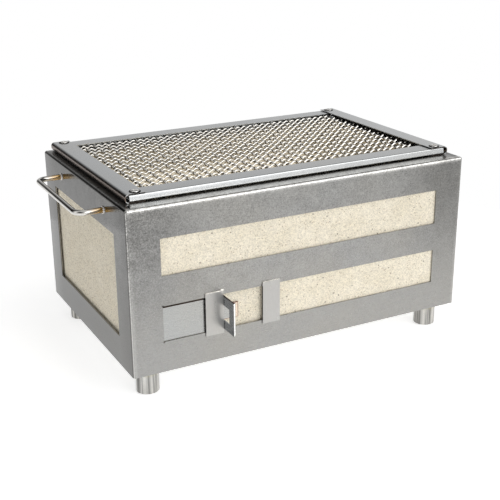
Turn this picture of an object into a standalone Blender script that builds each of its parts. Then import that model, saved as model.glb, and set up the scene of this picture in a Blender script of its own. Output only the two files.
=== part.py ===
"""Brick-lined hibachi grill: a welded stainless casing on four pipe feet, with windows that show
the refractory bricks, a sliding air vent, two rod handles, a charcoal grate inside and a woven-wire
cooking grate on top.

Frame: metres, +Z up, the front faces -Y. The origin is on the floor under the middle of the whole
outline, counted from the vent door's pull to the rear panel.
"""
import math

import bmesh
import bpy

MM = 0.001
GAP = 0.3 * MM                    # clearance kept between neighbouring solids

# Casing of folded sheet
BODY_WIDTH = 432 * MM
BODY_DEPTH = 280 * MM
BODY_HEIGHT = 190 * MM
SHEET = 1.5 * MM
EDGE_RADIUS = 3 * MM              # outside radius of the folded edges
LEDGE_WIDTH = 38 * MM             # inward flange that covers the brick tops
STILE = 37 * MM                   # sheet left beside the front and rear windows
SIDE_STILE = 38 * MM              # sheet left beside the side windows
SLOT_LOW = 35.5 * MM              # lower opening of the front, over the casing's bottom edge
SLOT_HIGH = 77.3 * MM
WINDOW_LOW = 111.6 * MM           # upper opening of the front
WINDOW_HIGH = 153.6 * MM

# Feet, cut from 3/4 inch pipe
FOOT_HEIGHT = 30 * MM
FOOT_RADIUS = 13.35 * MM
FOOT_WALL = 2.9 * MM
FOOT_INSET = 25 * MM              # foot centre from the casing's side and front
FOOT_CHAMFER = 0.8 * MM

# Brick lining
BRICK_THICKNESS = 31 * MM
BRICK_SETBACK = 3.6 * MM          # rear and side brick faces, behind the casing's outer face
BRICK_BEVEL = 0.8 * MM
FLOOR_BRICKS = ("left", "middle", "right")
INLET_LEFT = 34 * MM              # air inlet through the front brick, from the casing's left side
INLET_RIGHT = 90 * MM
INLET_LOW = 34.5 * MM
INLET_HIGH = 79 * MM
POCKET_LEFT = 24 * MM             # shallow pocket in the front brick's face for the sliding door
POCKET_RIGHT = 178 * MM
POCKET_LOW = 33 * MM
POCKET_HIGH = 80 * MM
POCKET_DEPTH = 1.8 * MM

# Vent door and its guide straps, x measured from the casing's left side
STRAP_WIDTH = 22 * MM
STRAP_LOW = 31.5 * MM
STRAP_HIGH = 81.7 * MM
LEFT_STRAP_X = 86.2 * MM
RIGHT_STRAP_X = 157 * MM
DOOR_LEFT = 28 * MM               # end of the plate, tucked behind the left stile
DOOR_HEIGHT = 39.6 * MM
DOOR_REACH = 26 * MM              # pull flange, out from the casing's face
DOOR_BEND = 2.5 * MM              # outside radius of the fold
PULL_CUT_LOW = 46 * MM            # window cut from the pull, folded flat to make the tongue
PULL_CUT_HIGH = 64 * MM
TONGUE = 17.5 * MM

# Handles of bent rod
ROD_RADIUS = 3.2 * MM
HANDLE_SPAN = 147 * MM            # between leg centres
HANDLE_REACH = 30 * MM            # rod centre from the side panel
HANDLE_BEND = 11 * MM             # centre-line radius
HANDLE_HEIGHT = 172.5 * MM        # over the casing's bottom edge

# Cooking grate: woven wire held in folded channels
GRATE_WIDTH = 415.4 * MM
GRATE_DEPTH = 255 * MM
GRATE_FRONT_INSET = 20 * MM       # from the casing's front face
CHANNEL_WIDTH = 23 * MM
CHANNEL_SHEET = 1 * MM
SIDE_CHANNEL_HEIGHT = 9.7 * MM
SIDE_CHANNEL_RADIUS = 4 * MM
END_CHANNEL_HEIGHT = 7.1 * MM
END_CHANNEL_RADIUS = 1.6 * MM
END_CHANNEL_INSET = 5.3 * MM      # each end, from the grate's outer side
WIRE_THICKNESS = 2.2 * MM
CROSS_WIRES = 26                  # wires that run from front to back
CROSS_WIRE_PITCH = 13.95 * MM
LONG_WIRES = 15                   # wires that run from side to side
LONG_WIRE_PITCH = 14.5 * MM
WIRE_END_INSET = 4 * MM           # wire ends, from the grate's outer sides
RIVET_HEAD_RADIUS = 4.75 * MM
RIVET_SHANK_RADIUS = 2.4 * MM
RIVET_TAIL_RADIUS = 3.4 * MM
RIVET_HEAD_HEIGHT = 1.5 * MM
RIVET_TAIL_HEIGHT = 2.4 * MM
RIVET_INSET_X = 14.2 * MM
RIVET_INSET_Y = 8 * MM

# Charcoal grate inside the firebox
COAL_GRATE_WIDTH = 350 * MM
COAL_GRATE_DEPTH = 198 * MM
COAL_BAR_RADIUS = 2.5 * MM
COAL_BARS = 25
COAL_BAR_PITCH = 14 * MM
COAL_WELD = 0.5 * MM              # how far a bar sinks into the rails
COAL_RAIL_THICKNESS = 3 * MM
COAL_RAIL_HEIGHT = 10 * MM
COAL_RAIL_INSET = 12 * MM         # rails, in from the bar ends
COAL_LEG_HEIGHT = 38 * MM
COAL_LEG_WIDTH = 20 * MM
COAL_LEG_INSET = 20 * MM

# Fineness of the faceted curves
FOLD_STEPS = 4                    # facets round a folded edge or corner
PIPE_SIDES = 32
RIVET_SIDES = 16
BAR_SIDES = 8
ROD_BEND_STEPS = 6
ROD_SIDES_RESOLUTION = 3          # gives a rod of ten sides
DOME_ANGLES = (0, 30, 60)         # rings of points up a rivet's head, in degrees
SMOOTH_ANGLE = 40                 # sharper creases than this stay sharp, in degrees

# Landmarks
LEFT = -BODY_WIDTH / 2
RIGHT = BODY_WIDTH / 2
FRONT = (DOOR_REACH - BODY_DEPTH) / 2
REAR = FRONT + BODY_DEPTH
BASE = FOOT_HEIGHT
TOP = BASE + BODY_HEIGHT
BRICK_LOW = BASE + SHEET + GAP
BRICK_HIGH = TOP - SHEET - GAP
FIREBOX_FLOOR = BRICK_LOW + BRICK_THICKNESS
OVERSHOOT = 10 * MM               # how far a cutter reaches past what it cuts

# Colour, metallic and roughness of each finish
FINISHES = {
    "sheet_steel": ((0.36, 0.36, 0.35), 1.0, 0.38),
    "grate_steel": ((0.45, 0.46, 0.47), 1.0, 0.32),
    "rod_steel": ((0.52, 0.50, 0.47), 1.0, 0.16),
    "pipe_steel": ((0.46, 0.45, 0.43), 1.0, 0.26),
    "wire_steel": ((0.50, 0.50, 0.48), 1.0, 0.24),
    "firebrick": ((0.79, 0.71, 0.54), 0.0, 0.92),
}


def clear_scene():
    for item in list(bpy.data.objects):
        bpy.data.objects.remove(item, do_unlink=True)


def arc(centre, radius, start, end, steps):
    """Points along a circular arc, angles in degrees."""
    points = []
    for step in range(steps + 1):
        angle = math.radians(start + (end - start) * step / steps)
        points.append((centre[0] + radius * math.cos(angle), centre[1] + radius * math.sin(angle)))
    return points


def box(low, high):
    """A box between two corners."""
    form = bmesh.new()
    bmesh.ops.create_cube(form, size=1)
    for vert in form.verts:
        vert.co = [low[i] if vert.co[i] < 0 else high[i] for i in range(3)]
    return form


def prism(outline, low, high, axis):
    """A closed outline carried from low to high along X, Y or Z.

    The outline's pairs are the two other coordinates, in alphabetical order.
    """
    form = bmesh.new()
    rings = []
    for level in (low, high):
        ring = []
        for pair in outline:
            point = list(pair)
            point.insert("XYZ".index(axis), level)
            ring.append(form.verts.new(point))
        rings.append(ring)
    form.faces.new(rings[0])
    form.faces.new(rings[1])
    count = len(outline)
    for i in range(count):
        j = (i + 1) % count
        form.faces.new((rings[0][i], rings[0][j], rings[1][j], rings[1][i]))
    return form


def lathe(profile, segments):
    """A closed (radius, height) profile turned about Z; points at radius 0 become one vertex."""
    form = bmesh.new()
    rings = []
    for radius, height in profile:
        if radius == 0:
            rings.append([form.verts.new((0, 0, height))])
            continue
        ring = []
        for k in range(segments):
            angle = 2 * math.pi * k / segments
            ring.append(form.verts.new((radius * math.cos(angle), radius * math.sin(angle), height)))
        rings.append(ring)
    for lower, upper in zip(rings, rings[1:] + rings[:1]):
        for k in range(segments):
            corners = [lower[k % len(lower)], lower[(k + 1) % len(lower)]]
            corners += [upper[(k + 1) % len(upper)], upper[k % len(upper)]]
            corners = list(dict.fromkeys(corners))
            if len(corners) > 2:
                form.faces.new(corners)
    return form


def cylinder(radius, low, high, axis, centre, sides):
    """A round bar along X, Y or Z; centre holds its two other coordinates."""
    outline = arc(centre, radius, 0, 360 * (sides - 1) / sides, sides - 1)
    return prism(outline, low, high, axis)


def cell_solid(xs, ys, zs, filled):
    """One solid made of the filled cells of a rectangular grid, with only its outer faces."""
    form = bmesh.new()
    corners = {}

    def corner(index):
        if index not in corners:
            corners[index] = form.verts.new((xs[index[0]], ys[index[1]], zs[index[2]]))
        return corners[index]

    counts = (len(xs) - 1, len(ys) - 1, len(zs) - 1)
    cells = {(i, j, k) for i in range(counts[0]) for j in range(counts[1]) for k in range(counts[2])
             if filled(i, j, k)}
    for cell in sorted(cells):
        for axis in range(3):
            for step in (-1, 1):
                neighbour = list(cell)
                neighbour[axis] += step
                if tuple(neighbour) in cells:
                    continue
                first, second = [other for other in range(3) if other != axis]
                face = []
                for move in ((0, 0), (1, 0), (1, 1), (0, 1)):
                    index = list(cell)
                    index[axis] += max(step, 0)
                    index[first] += move[0]
                    index[second] += move[1]
                    face.append(corner(tuple(index)))
                form.faces.new(face)
    return form


def joined(forms):
    """Several separate bodies in one mesh."""
    whole = bmesh.new()
    for form in forms:
        part = bpy.data.meshes.new("part")
        form.to_mesh(part)
        form.free()
        whole.from_mesh(part)
        bpy.data.meshes.remove(part)
    return whole


def edges_along(form, keep):
    """Edges whose two ends both satisfy keep."""
    return [edge for edge in form.edges if keep(edge.verts[0].co) and keep(edge.verts[1].co)]


def add_object(name, form, location=(0, 0, 0), parent=None):
    bmesh.ops.recalc_face_normals(form, faces=form.faces)
    mesh = bpy.data.meshes.new(name)
    form.to_mesh(mesh)
    form.free()
    item = bpy.data.objects.new(name, mesh)
    item.location = location
    item.parent = parent
    bpy.context.scene.collection.objects.link(item)
    return item


def add_part(name, form, finish, location=(0, 0, 0), parent=None, smooth=False):
    """One sub-part, with a material of its own."""
    item = add_object(name, form, location, parent)
    colour, metallic, roughness = FINISHES[finish]
    material = bpy.data.materials.new(name + "_" + finish)
    material.use_nodes = True
    shader = material.node_tree.nodes["Principled BSDF"]
    shader.inputs["Base Color"].default_value = (*colour, 1)
    shader.inputs["Metallic"].default_value = metallic
    shader.inputs["Roughness"].default_value = roughness
    material.diffuse_color = (*colour, 1)
    item.data.materials.append(material)
    if smooth:
        item.data.shade_smooth()
        item.data.set_sharp_from_angle(angle=math.radians(SMOOTH_ANGLE))
    return item


def add_cutter(name, form):
    item = add_object(name, form)
    item.hide_render = True
    item.display_type = "WIRE"
    return item


def add_empty(name, location):
    item = bpy.data.objects.new(name, None)
    item.location = location
    bpy.context.scene.collection.objects.link(item)
    return item


def carve(item, tool, operation="DIFFERENCE"):
    modifier = item.modifiers.new(operation.lower(), "BOOLEAN")
    modifier.operation = operation
    modifier.solver = "EXACT"
    modifier.object = tool


def soften(item, width, segments):
    modifier = item.modifiers.new("edge_bevel", "BEVEL")
    modifier.width = width
    modifier.segments = segments
    modifier.limit_method = "ANGLE"


def folded_box(low, high, radius):
    """A box with its four upright edges and its four top edges rounded."""
    form = box(low, high)
    uprights = [edge for edge in form.edges if edge.verts[0].co.z != edge.verts[1].co.z]
    rims = edges_along(form, lambda point: point.z > (low[2] + high[2]) / 2)
    bmesh.ops.bevel(form, geom=uprights + rims, offset=radius, segments=FOLD_STEPS, profile=0.5,
                    affect="EDGES")
    return form


def corner_wedges():
    """The plan region of each wall, split at 45 degrees through the casing's corners."""
    reach = OVERSHOOT
    half = BODY_DEPTH / 2
    shift = GAP / math.sqrt(2)
    middle = FRONT + half
    plans = {
        "front": [(LEFT - reach, FRONT - reach), (RIGHT + reach, FRONT - reach),
                  (RIGHT - half, middle), (LEFT + half, middle)],
        "rear": [(LEFT - reach, REAR + reach), (RIGHT + reach, REAR + reach),
                 (RIGHT - half, middle), (LEFT + half, middle)],
        "left": [(LEFT - reach, FRONT - reach), (LEFT - reach, REAR + reach), (LEFT + half, middle)],
        "right": [(RIGHT + reach, FRONT - reach), (RIGHT + reach, REAR + reach), (RIGHT - half, middle)],
    }
    outward = {"front": (0, -shift), "rear": (0, shift), "left": (-shift, 0), "right": (shift, 0)}
    wedges = {}
    for side, plan in plans.items():
        move = outward[side]
        outline = [(x + move[0], y + move[1]) for x, y in plan]
        form = prism(outline, BASE - reach, TOP + reach, "Z")
        wedges[side] = add_cutter(side + "_wedge", form)
    return wedges


def window_cutters():
    """Openings in each wall: one upper and one lower at front and rear, one large at each side."""
    cutters = {}
    reach = OVERSHOOT
    for side, wall in (("front", FRONT), ("rear", REAR)):
        pair = []
        for level, low, high in (("lower", SLOT_LOW, SLOT_HIGH), ("upper", WINDOW_LOW, WINDOW_HIGH)):
            form = box((LEFT + STILE, wall - reach, BASE + low), (RIGHT - STILE, wall + reach, BASE + high))
            pair.append(add_cutter(side + "_" + level + "_window", form))
        cutters[side] = pair
    for side, wall in (("left", LEFT), ("right", RIGHT)):
        form = box((wall - reach, FRONT + SIDE_STILE, BASE + SLOT_LOW),
                   (wall + reach, REAR - SIDE_STILE, BASE + WINDOW_HIGH))
        cutters[side] = [add_cutter(side + "_window", form)]
    return cutters


def build_casing():
    """Four walls, each with its folded ledge, mitred where they are welded together."""
    cavity_form = folded_box((LEFT + SHEET, FRONT + SHEET, BASE - OVERSHOOT),
                             (RIGHT - SHEET, REAR - SHEET, TOP - SHEET), EDGE_RADIUS - SHEET)
    cavity = add_cutter("casing_cavity", cavity_form)
    mouth_form = box((LEFT + LEDGE_WIDTH, FRONT + LEDGE_WIDTH, TOP - OVERSHOOT),
                     (RIGHT - LEDGE_WIDTH, REAR - LEDGE_WIDTH, TOP + OVERSHOOT))
    mouth = add_cutter("casing_mouth", mouth_form)
    wedges = corner_wedges()
    windows = window_cutters()
    for side, wedge in wedges.items():
        blank = folded_box((LEFT, FRONT, BASE), (RIGHT, REAR, TOP), EDGE_RADIUS)
        panel = add_part(side + "_panel", blank, "sheet_steel", smooth=True)
        for tool in (cavity, mouth, *windows[side]):
            carve(panel, tool)
        carve(panel, wedge, "INTERSECT")


def build_base_pan():
    inset = SHEET + GAP
    form = box((LEFT + inset, FRONT + inset, BASE), (RIGHT - inset, REAR - inset, BASE + SHEET))
    uprights = [edge for edge in form.edges if edge.verts[0].co.z != edge.verts[1].co.z]
    bmesh.ops.bevel(form, geom=uprights, offset=EDGE_RADIUS, segments=FOLD_STEPS, profile=0.5,
                    affect="EDGES")
    add_part("base_pan", form, "sheet_steel")


def build_feet():
    outer = FOOT_RADIUS
    inner = FOOT_RADIUS - FOOT_WALL
    top = FOOT_HEIGHT - GAP
    profile = [(inner, 0), (outer - FOOT_CHAMFER, 0), (outer, FOOT_CHAMFER), (outer, top), (inner, top)]
    for depth_name, y in (("front", FRONT + FOOT_INSET), ("rear", REAR - FOOT_INSET)):
        for side_name, x in (("left", LEFT + FOOT_INSET), ("right", RIGHT - FOOT_INSET)):
            name = "foot_" + depth_name + "_" + side_name
            add_part(name, lathe(profile, PIPE_SIDES), "pipe_steel", location=(x, y, 0), smooth=True)


def add_brick(name, low, high):
    return add_part(name, box(low, high), "firebrick")


def build_bricks():
    """Four wall bricks and three floor bricks.

    The front brick stands right behind the sheet, apart from a shallow pocket where the door slides.
    """
    left = LEFT + BRICK_SETBACK
    right = RIGHT - BRICK_SETBACK
    front = FRONT + SHEET + GAP
    rear = REAR - BRICK_SETBACK
    thick = BRICK_THICKNESS
    inner_front = FRONT + BRICK_SETBACK + thick + GAP
    low, high = BRICK_LOW, BRICK_HIGH

    front_brick = add_brick("front_wall_brick", (left, front, low), (right, inner_front - GAP, high))
    pocket_form = box((LEFT + POCKET_LEFT, front - OVERSHOOT, BASE + POCKET_LOW),
                      (LEFT + POCKET_RIGHT, front + POCKET_DEPTH, BASE + POCKET_HIGH))
    inlet_form = box((LEFT + INLET_LEFT, front - OVERSHOOT, BASE + INLET_LOW),
                     (LEFT + INLET_RIGHT, inner_front + OVERSHOOT, BASE + INLET_HIGH))
    carve(front_brick, add_cutter("door_pocket", pocket_form))
    carve(front_brick, add_cutter("air_inlet", inlet_form))
    soften(front_brick, BRICK_BEVEL, 1)

    inner_rear = rear - thick - GAP
    walls = (
        ("rear_wall_brick", (left, rear - thick, low), (right, rear, high)),
        ("left_wall_brick", (left, inner_front, low), (left + thick, inner_rear, high)),
        ("right_wall_brick", (right - thick, inner_front, low), (right, inner_rear, high)),
    )
    for name, corner_low, corner_high in walls:
        soften(add_brick(name, corner_low, corner_high), BRICK_BEVEL, 1)

    inner_left = left + thick + GAP
    inner_right = right - thick - GAP
    width = (inner_right - inner_left + GAP) / len(FLOOR_BRICKS)
    for index, place in enumerate(FLOOR_BRICKS):
        x = inner_left + index * width
        brick = add_brick("floor_brick_" + place, (x, inner_front, low),
                          (x + width - GAP, inner_rear, FIREBOX_FLOOR))
        soften(brick, BRICK_BEVEL, 1)


def build_guide_straps():
    for side, x in (("left", LEFT_STRAP_X), ("right", RIGHT_STRAP_X)):
        form = box((LEFT + x, FRONT - GAP - SHEET, BASE + STRAP_LOW),
                   (LEFT + x + STRAP_WIDTH, FRONT - GAP, BASE + STRAP_HIGH))
        add_part("guide_strap_" + side, form, "sheet_steel")


def build_vent_door():
    """A strip that slides behind the front panel, its end folded out as a pull.

    Local frame: origin at the fold's outer corner, on the lower edge; the plate runs towards -X.
    """
    fold_x = LEFT + LEFT_STRAP_X + STRAP_WIDTH + GAP + SHEET
    back_y = FRONT + 2 * SHEET + GAP
    low_z = BASE + SLOT_LOW + GAP
    plate_end = LEFT + DOOR_LEFT - fold_x
    pull_end = FRONT - DOOR_REACH - back_y
    centre = (-DOOR_BEND, -DOOR_BEND)
    outline = [(plate_end, -SHEET), (plate_end, 0)]
    outline += arc(centre, DOOR_BEND, 90, 0, FOLD_STEPS)
    outline += [(0, pull_end), (-SHEET, pull_end)]
    outline += arc(centre, DOOR_BEND - SHEET, 0, 90, FOLD_STEPS)
    form = prism(outline, 0, DOOR_HEIGHT, "Z")
    door = add_part("vent_door", form, "sheet_steel", location=(fold_x, back_y, low_z), smooth=True)

    cut_low = BASE + PULL_CUT_LOW
    cut_high = BASE + PULL_CUT_HIGH
    cut_end = back_y - TONGUE
    notch = box((fold_x - DOOR_BEND, cut_end, cut_low), (fold_x + OVERSHOOT, back_y + OVERSHOOT, cut_high))
    carve(door, add_cutter("pull_window", notch))
    tongue = box((fold_x - OVERSHOOT, back_y - SHEET, cut_low), (fold_x + TONGUE, back_y, cut_high))
    carve(door, add_cutter("pull_tongue", tongue), "UNION")


def handle_route(side):
    """Centre line of one handle, from one weld round to the other."""
    panel = side * BODY_WIDTH / 2
    start = panel + side * GAP
    half = HANDLE_SPAN / 2
    middle = FRONT + BODY_DEPTH / 2
    bend = HANDLE_BEND
    corner = panel + side * (HANDLE_REACH - bend)
    points = [(start, middle - half)]
    for x, y in arc((corner, middle - half + bend), bend, 270, 360, ROD_BEND_STEPS):
        points.append((corner + side * (x - corner), y))
    mirrored = [(x, 2 * middle - y) for x, y in reversed(points)]
    return points + mirrored


def build_handles():
    for name, side in (("left_handle", -1), ("right_handle", 1)):
        curve = bpy.data.curves.new(name, "CURVE")
        curve.dimensions = "3D"
        curve.bevel_depth = ROD_RADIUS
        curve.bevel_resolution = ROD_SIDES_RESOLUTION
        curve.use_fill_caps = True
        spline = curve.splines.new("POLY")
        route = handle_route(side)
        spline.points.add(len(route) - 1)
        for point, (x, y) in zip(spline.points, route):
            point.co = (x, y, BASE + HANDLE_HEIGHT, 1)
        rod = bpy.data.objects.new(name + "_rod", curve)
        bpy.context.scene.collection.objects.link(rod)
        bpy.context.view_layer.update()
        solid = bmesh.new()
        solid.from_mesh(rod.to_mesh())
        bmesh.ops.remove_doubles(solid, verts=solid.verts, dist=GAP / 10)
        bpy.data.objects.remove(rod, do_unlink=True)
        add_part(name, solid, "rod_steel", smooth=True)


def channel_outline(width, height, radius):
    """A C section open towards +u, its back at u = 0, standing on v = 0."""
    sheet = CHANNEL_SHEET
    low = (radius, radius)
    high = (radius, height - radius)
    outline = [(width, 0)]
    outline += arc(low, radius, 270, 180, FOLD_STEPS)
    outline += arc(high, radius, 180, 90, FOLD_STEPS)
    outline += [(width, height), (width, height - sheet)]
    outline += arc(high, radius - sheet, 90, 180, FOLD_STEPS)
    outline += arc(low, radius - sheet, 180, 270, FOLD_STEPS)
    outline += [(width, sheet)]
    return outline


def build_grate_frame(parent):
    """Two side channels clasp the ends of a front and a rear channel.

    Local frame: origin in the middle of the grate, on the level of its underside.
    """
    half_width = GRATE_WIDTH / 2
    half_depth = GRATE_DEPTH / 2
    lift = CHANNEL_SHEET + GAP
    parts = []
    section = channel_outline(CHANNEL_WIDTH, SIDE_CHANNEL_HEIGHT, SIDE_CHANNEL_RADIUS)
    for name, side in (("left", -1), ("right", 1)):
        outline = [(side * (half_width - u), v) for u, v in section]
        form = prism(outline, -half_depth, half_depth, "Y")
        parts.append(add_part("grate_" + name + "_channel", form, "grate_steel", parent=parent, smooth=True))
    section = channel_outline(CHANNEL_WIDTH, END_CHANNEL_HEIGHT, END_CHANNEL_RADIUS)
    end = half_width - END_CHANNEL_INSET
    for name, side in (("front", -1), ("rear", 1)):
        outline = [(side * (half_depth - u), v + lift) for u, v in section]
        form = prism(outline, -end, end, "X")
        parts.append(add_part("grate_" + name + "_channel", form, "grate_steel", parent=parent, smooth=True))
    return parts


def build_rivets(parent, channels):
    """A blind rivet at each corner, through the top flanges of both channels."""
    under_head = SIDE_CHANNEL_HEIGHT + GAP
    tail_top = END_CHANNEL_HEIGHT
    profile = [(0, tail_top - RIVET_TAIL_HEIGHT),
               (RIVET_TAIL_RADIUS, tail_top - RIVET_TAIL_HEIGHT / 2),
               (RIVET_SHANK_RADIUS, tail_top),
               (RIVET_SHANK_RADIUS, under_head)]
    for degrees in DOME_ANGLES:
        angle = math.radians(degrees)
        rise = RIVET_HEAD_HEIGHT * math.sin(angle)
        profile.append((RIVET_HEAD_RADIUS * math.cos(angle), under_head + rise))
    profile.append((0, under_head + RIVET_HEAD_HEIGHT))
    x = GRATE_WIDTH / 2 - RIVET_INSET_X
    y = GRATE_DEPTH / 2 - RIVET_INSET_Y
    holes = []
    for depth_name, place_y in (("front", -y), ("rear", y)):
        for side_name, place_x in (("left", -x), ("right", x)):
            name = "grate_rivet_" + depth_name + "_" + side_name
            add_part(name, lathe(profile, RIVET_SIDES), "rod_steel", location=(place_x, place_y, 0),
                     parent=parent, smooth=True)
            centre = (parent.location.x + place_x, parent.location.y + place_y)
            low = parent.location.z + tail_top
            holes.append(cylinder(RIVET_SHANK_RADIUS + GAP, low, low + OVERSHOOT, "Z", centre, RIVET_SIDES))
    drill = add_cutter("rivet_holes", joined(holes))
    for channel in channels:
        carve(channel, drill)


def spread(count, pitch):
    """Evenly pitched places, symmetric about zero."""
    return [(index - (count - 1) / 2) * pitch for index in range(count)]


def strip_edges(places, thickness, reach):
    """Sorted coordinates that bound each strip, from -reach to reach."""
    edges = [-reach]
    for place in places:
        edges += [place - thickness / 2, place + thickness / 2]
    return edges + [reach]


def build_mesh(parent):
    """The wire panel: straight long wires lying on straight cross wires, one lattice.

    Strips and gaps alternate along both axes, so every second interval holds a wire.
    """
    middle = CHANNEL_SHEET + GAP + END_CHANNEL_HEIGHT / 2
    cross_places = spread(CROSS_WIRES, CROSS_WIRE_PITCH)
    long_places = spread(LONG_WIRES, LONG_WIRE_PITCH)
    xs = strip_edges(cross_places, WIRE_THICKNESS, GRATE_WIDTH / 2 - WIRE_END_INSET)
    ys = strip_edges(long_places, WIRE_THICKNESS, GRATE_DEPTH / 2 - WIRE_END_INSET)
    zs = [middle - WIRE_THICKNESS, middle, middle + WIRE_THICKNESS]

    def holds_wire(i, j, k):
        return i % 2 == 1 if k == 0 else j % 2 == 1

    add_part("woven_mesh", cell_solid(xs, ys, zs, holds_wire), "wire_steel", parent=parent)


def build_cooking_grate():
    centre_y = FRONT + GRATE_FRONT_INSET + GRATE_DEPTH / 2
    mount = add_empty("cooking_grate_origin", (0, centre_y, TOP + GAP))
    channels = build_grate_frame(mount)
    build_rivets(mount, channels)
    build_mesh(mount)


def build_charcoal_grate():
    """Round bars welded across two flat rails on four flat legs, free to lift out of the firebox."""
    centre_y = FRONT + BODY_DEPTH / 2
    mount = add_empty("charcoal_grate_origin", (0, centre_y, FIREBOX_FLOOR + GAP))
    half_width = COAL_GRATE_WIDTH / 2
    half_depth = COAL_GRATE_DEPTH / 2
    half_rail = COAL_RAIL_THICKNESS / 2
    rail_low = COAL_LEG_HEIGHT + GAP
    rail_high = rail_low + COAL_RAIL_HEIGHT
    rail_y = half_depth - COAL_RAIL_INSET
    rails = [box((-half_width, y - half_rail, rail_low), (half_width, y + half_rail, rail_high))
             for y in (-rail_y, rail_y)]
    grate = add_part("charcoal_grate", joined(rails), "wire_steel", parent=mount, smooth=True)
    bar_z = rail_high + COAL_BAR_RADIUS - COAL_WELD
    bars = [cylinder(COAL_BAR_RADIUS, -half_depth, half_depth, "Y", (x, bar_z), BAR_SIDES)
            for x in spread(COAL_BARS, COAL_BAR_PITCH)]
    row_of_bars = add_cutter("charcoal_bars", joined(bars))
    row_of_bars.parent = mount
    carve(grate, row_of_bars, "UNION")

    half_leg = COAL_LEG_WIDTH / 2
    leg_x = half_width - COAL_LEG_INSET
    for depth_name, y in (("front", -rail_y), ("rear", rail_y)):
        for side_name, x in (("left", -leg_x), ("right", leg_x)):
            form = box((-half_leg, -half_rail, 0), (half_leg, half_rail, COAL_LEG_HEIGHT))
            name = "charcoal_leg_" + depth_name + "_" + side_name
            add_part(name, form, "wire_steel", location=(x, y, 0), parent=mount)


clear_scene()
build_casing()
build_base_pan()
build_feet()
build_bricks()
build_guide_straps()
build_vent_door()
build_handles()
build_charcoal_grate()
build_cooking_grate()
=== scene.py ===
"""The looks of the brick-lined hibachi grill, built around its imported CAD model.

Sheet, rod, pipe and wire are rebuilt here with their fine edges, welds and weave, in the places that
the CAD nodes give. Everything is in metres, +Z up, and the front of the grill faces -Y.
"""
import math

import bmesh
import bpy
import numpy as np
from mathutils import Matrix, Vector, noise


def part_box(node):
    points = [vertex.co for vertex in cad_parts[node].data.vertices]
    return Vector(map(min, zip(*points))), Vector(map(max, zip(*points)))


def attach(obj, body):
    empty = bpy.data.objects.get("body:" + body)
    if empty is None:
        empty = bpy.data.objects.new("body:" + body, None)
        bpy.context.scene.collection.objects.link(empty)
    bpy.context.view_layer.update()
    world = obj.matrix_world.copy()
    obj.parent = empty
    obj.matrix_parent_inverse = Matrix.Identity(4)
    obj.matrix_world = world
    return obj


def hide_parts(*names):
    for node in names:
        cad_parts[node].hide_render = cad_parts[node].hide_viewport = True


MM = 0.001

# Casing
SHEET = 1.5 * MM
EDGE_RADIUS = 3 * MM
LEDGE_WIDTH = 38 * MM
STILE = 37 * MM
SIDE_STILE = 38 * MM
SLOT_LOW = 35.5 * MM
SLOT_HIGH = 77.3 * MM
WINDOW_LOW = 111.6 * MM
WINDOW_HIGH = 153.6 * MM
RELIEF_RADIUS = 0.9 * MM          # round relief cut at the vent slot's left corners

# Lining
BRICK_GRID = 4 * MM               # spacing of the rough surface's points
BRICK_ROUGHNESS = 0.16 * MM
BRICK_CHIPS = 0.9 * MM            # how far edges wear back
INLET_LEFT = 34 * MM              # air inlet through the front brick
INLET_RIGHT = 90 * MM
INLET_LOW = 34.5 * MM
INLET_HIGH = 79 * MM
POCKET_LEFT = 24 * MM             # shallow pocket where the vent door slides
POCKET_RIGHT = 178 * MM
POCKET_LOW = 33 * MM
POCKET_HIGH = 80 * MM
POCKET_BACK = 3.6 * MM            # its back, behind the casing's outer face

# Vent door
DOOR_BEND = 2.5 * MM
PULL_CORNER = 2.2 * MM            # rounded outer corners of the pull
PULL_CUT_LOW = 46 * MM
PULL_CUT_HIGH = 64 * MM
TONGUE = 17.5 * MM
DOOR_PLAY = 0.06 * MM             # gap between the door's plate and the front sheet

# Handles and feet
ROD_RADIUS = 3.2 * MM
HANDLE_BEND = 11 * MM
HANDLE_STEPS = 16                 # steps round a bend
FOOT_WALL = 2.9 * MM
FOOT_SIDES = 72

# Cooking grate
CHANNEL_WIDTH = 23 * MM
CHANNEL_SHEET = 1 * MM
SIDE_CHANNEL_RADIUS = 4 * MM
END_CHANNEL_RADIUS = 1.5 * MM
END_CHANNEL_FOOT = 1.1 * MM       # radius of its lower fold
END_CHANNEL_LEAN = 0.9 * MM       # how far the back leans in at its top
WIRE_RADIUS = 1.1 * MM
CROSS_WIRES = 26                  # wires that run from front to back
CROSS_WIRE_PITCH = 13.95 * MM
LONG_WIRES = 15                   # wires that run from side to side
LONG_WIRE_PITCH = 14.5 * MM
CRIMP = 1.1 * MM                  # how far a wire swings to each side of the weave's middle
CRIMPS = 3                        # half waves from one crossing to the next
WIRE_SIDES = 8
SOOTY_SIDES = (4, 5, 6, 7)        # a wire's faces that point down, blackened by the fire
WIRE_STEPS = 6                    # rings of points from one crossing to the next

# Rivets
RIVET_SIDES = 40
RIVET_RISE = 1.5 * MM             # height of the domed head
RIVET_RIM = 0.2 * MM              # height of the head's upright rim
RIVET_SHANK = 2.4 * MM            # radii
RIVET_TAIL = 3.4 * MM
RIVET_PIT = 1.3 * MM              # the hole where the mandrel snapped off
RIVET_LIP = 0.3 * MM              # flat lip round the pit
PIT_DEPTH = 0.7 * MM
SEAT_RING = 1.6 * MM              # width of the dark ring round a rivet's head, painted shade
SEAT_TUCK = 0.6 * MM              # how far the dark ring goes under the head
SEAT_HEIGHT = 0.15 * MM

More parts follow.
